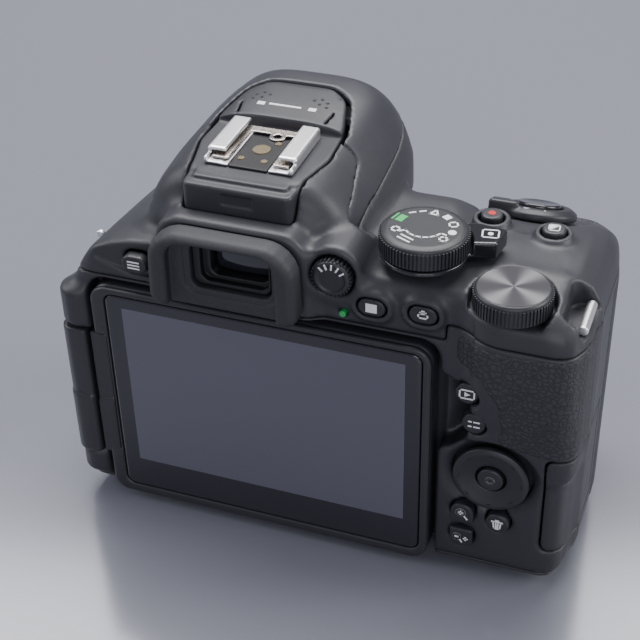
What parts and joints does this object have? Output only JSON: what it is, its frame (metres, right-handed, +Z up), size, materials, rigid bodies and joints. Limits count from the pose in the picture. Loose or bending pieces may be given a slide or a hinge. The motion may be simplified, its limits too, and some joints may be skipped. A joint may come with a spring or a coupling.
{
  "type": "dslr camera",
  "caption": "Single-lens reflex camera body with side-hinged swing-out monitor, prism hump with lift-up flash, hot shoe, dials and buttons; lens mount open.",
  "frame": {"origin": "centre of the bounding box on the base plane", "axes": "+X to the viewer's right, +Y out of the lens mount to the subject, +Z up"},
  "size_m": [0.124, 0.07, 0.097],
  "materials": {
    "shell": "fine matt texture",
    "rubber": "pebble grain",
    "gloss": "polished",
    "button": "satin",
    "steel": "brushed",
    "glass": "clear dark",
    "lens": "clear",
    "mirror": "front silvered",
    "frame": "matt",
    "diffuser": "ribbed"
  },
  "bodies": {
    "camera": {"rear_cover": "shell", "front_cover": "shell", "base_plate": "shell", "top_cover": "shell", "lens_mount": "steel", "mirror_box": "frame", "shutter_unit": "frame", "image_sensor": "gloss", "pentaprism": "lens", "eyecup": "rubber", "eyepiece_frame": "frame", "eyepiece_lens": "lens", "shoe_plate": "shell", "hot_shoe_rails": "steel", "shoe_contacts": "frame", "shoe_spring": "steel", "grip_rubber": "rubber", "thumb_rubber": "rubber", "strap_lug_left": "steel", "strap_lug_right": "steel", "tripod_socket": "steel", "assist_lamp": "lens", "status_light": "lens", "battery": "frame", "battery_box": "frame", "terminal_panel": "frame"},
    "monitor": {"monitor_arm": "shell", "monitor_case": "shell", "monitor_rim": "gloss", "monitor_glass": "glass", "monitor_panel": "gloss"},
    "flash": {"flash_head": "shell", "flash_window": "diffuser"},
    "mirror": {"mirror_holder": "frame", "reflex_mirror": "mirror"},
    "mode_dial": {"mode_dial": "button"},
    "command_dial": {"command_dial": "steel"},
    "live_view_lever": {"live_view_lever": "gloss"},
    "power_switch": {"power_switch": "gloss"},
    "shutter_button": {"shutter_button": "button"},
    "movie_button": {"movie_button": "button"},
    "exposure_button": {"exposure_button": "button"},
    "playback_button": {"playback_button": "button"},
    "i_button": {"i_button": "button"},
    "zoom_in_button": {"zoom_in_button": "button"},
    "zoom_out_button": {"zoom_out_button": "button"},
    "delete_button": {"delete_button": "button"},
    "menu_button": {"menu_button": "button"},
    "info_button": {"info_button": "button"},
    "lock_button": {"lock_button": "button"},
    "ok_button": {"ok_button": "button"},
    "multi_selector": {"multi_selector": "button"},
    "flash_button": {"flash_button": "button"},
    "function_button": {"function_button": "button"},
    "lens_release_button": {"lens_release_button": "button"},
    "diopter_dial": {"diopter_dial": "button"},
    "card_door": {"card_door": "shell"},
    "battery_door": {"battery_door": "shell"},
    "battery_latch": {"battery_latch": "button"},
    "terminal_cover": {"terminal_cover": "rubber"}
  },
  "joints": [
    {"name": "monitor_swing", "type": "hinge", "parent": "camera", "child": "monitor", "pos_m": [-0.0578, -0.0254, 0.0326], "axis": [0, 0, -1], "range_deg": [0, 180]},
    {"name": "flash_lift", "type": "hinge", "parent": "camera", "child": "flash", "pos_m": [-0.0173, -0.0135, 0.084], "axis": [1, 0, 0], "range_deg": [0, 45]},
    {"name": "mode_dial_turn", "type": "hinge", "parent": "camera", "child": "mode_dial", "pos_m": [0.023, -0.0178, 0.0816], "axis": [0, 0, 1], "continuous": true},
    {"name": "command_dial_turn", "type": "hinge", "parent": "camera", "child": "command_dial", "pos_m": [0.044, -0.025, 0.0758], "axis": [0, 0, 1], "continuous": true},
    {"name": "live_view_turn", "type": "hinge", "parent": "camera", "child": "live_view_lever", "pos_m": [0.023, -0.0178, 0.08], "axis": [0, 0, -1], "range_deg": [0, 15], "stiffness_Nm_per_rad": 0.05},
    {"name": "power_switch_turn", "type": "hinge", "parent": "camera", "child": "power_switch", "pos_m": [0.04, 0.0185, 0.07597], "axis": [0, 0.3907, 0.9205], "range_deg": [0, 30]},
    {"name": "shutter_press", "type": "slide", "parent": "camera", "child": "shutter_button", "axis": [0, -0.3907, -0.9205], "range_m": [0, 0.0012], "stiffness_N_per_m": 800},
    {"name": "movie_press", "type": "slide", "parent": "camera", "child": "movie_button", "axis": [0, 0, -1], "range_m": [0, 0.0005], "stiffness_N_per_m": 1200},
    {"name": "exposure_press", "type": "slide", "parent": "camera", "child": "exposure_button", "axis": [0, 0, -1], "range_m": [0, 0.0005], "stiffness_N_per_m": 1200},
    {"name": "playback_press", "type": "slide", "parent": "camera", "child": "playback_button", "axis": [0, 1, 0], "range_m": [0, 0.0005], "stiffness_N_per_m": 1200},
    {"name": "i_press", "type": "slide", "parent": "camera", "child": "i_button", "axis": [0, 1, 0], "range_m": [0, 0.0005], "stiffness_N_per_m": 1200},
    {"name": "zoom_in_press", "type": "slide", "parent": "camera", "child": "zoom_in_button", "axis": [0, 1, 0], "range_m": [0, 0.0005], "stiffness_N_per_m": 1200},
    {"name": "zoom_out_press", "type": "slide", "parent": "camera", "child": "zoom_out_button", "axis": [0, 1, 0], "range_m": [0, 0.0005], "stiffness_N_per_m": 1200},
    {"name": "delete_press", "type": "slide", "parent": "camera", "child": "delete_button", "axis": [0, 1, 0], "range_m": [0, 0.0005], "stiffness_N_per_m": 1200},
    {"name": "menu_press", "type": "slide", "parent": "camera", "child": "menu_button", "axis": [0, 1, 0], "range_m": [0, 0.0005], "stiffness_N_per_m": 1200},
    {"name": "info_press", "type": "slide", "parent": "camera", "child": "info_button", "axis": [0, 1, 0], "range_m": [0, 0.0005], "stiffness_N_per_m": 1200},
    {"name": "lock_press", "type": "slide", "parent": "camera", "child": "lock_button", "axis": [0, 1, 0], "range_m": [0, 0.0005], "stiffness_N_per_m": 1200},
    {"name": "ok_press", "type": "slide", "parent": "camera", "child": "ok_button", "axis": [0, 1, 0], "range_m": [0, 0.0006], "stiffness_N_per_m": 1200},
    {"name": "selector_rock", "type": "hinge", "parent": "camera", "child": "multi_selector", "pos_m": [0.0423, -0.0272, 0.0302], "axis": [1, 0, 0], "range_deg": [-3, 3], "stiffness_Nm_per_rad": 0.4},
    {"name": "flash_press", "type": "slide", "parent": "camera", "child": "flash_button", "axis": [0, -1, 0], "range_m": [0, 0.0005], "stiffness_N_per_m": 1200},
    {"name": "function_press", "type": "slide", "parent": "camera", "child": "function_button", "axis": [0, -1, 0], "range_m": [0, 0.0005], "stiffness_N_per_m": 1200},
    {"name": "lens_release_press", "type": "slide", "parent": "camera", "child": "lens_release_button", "axis": [0, -1, 0], "range_m": [0, 0.0015], "stiffness_N_per_m": 1200},
    {"name": "diopter_turn", "type": "hinge", "parent": "camera", "child": "diopter_dial", "pos_m": [0.0059, -0.029, 0.0771], "axis": [0, 1, 0], "range_deg": [-150, 150]},
    {"name": "mirror_flip", "type": "hinge", "parent": "camera", "child": "mirror", "pos_m": [-0.0173, -0.0075, 0.05385], "axis": [1, 0, 0], "range_deg": [0, 45], "stiffness_Nm_per_rad": 0.02, "springref_deg": -17.19},
    {"name": "card_door_swing", "type": "hinge", "parent": "camera", "child": "card_door", "pos_m": [0.0617, -0.0024, 0.0255], "axis": [0, 0, 1], "range_deg": [0, 95]},
    {"name": "battery_door_swing", "type": "hinge", "parent": "camera", "child": "battery_door", "pos_m": [0.0354, 0.00675, 0.0004], "axis": [0, 1, 0], "range_deg": [0, 95]},
    {"name": "battery_latch_slide", "type": "slide", "parent": "battery_door", "child": "battery_latch", "axis": [1, 0, 0], "range_m": [0, 0.0016], "stiffness_N_per_m": 600},
    {"name": "terminal_cover_swing", "type": "hinge", "parent": "camera", "child": "terminal_cover", "pos_m": [-0.0617, 0.0012, 0.033], "axis": [0, 0, -1], "range_deg": [0, 100]}
  ]
}
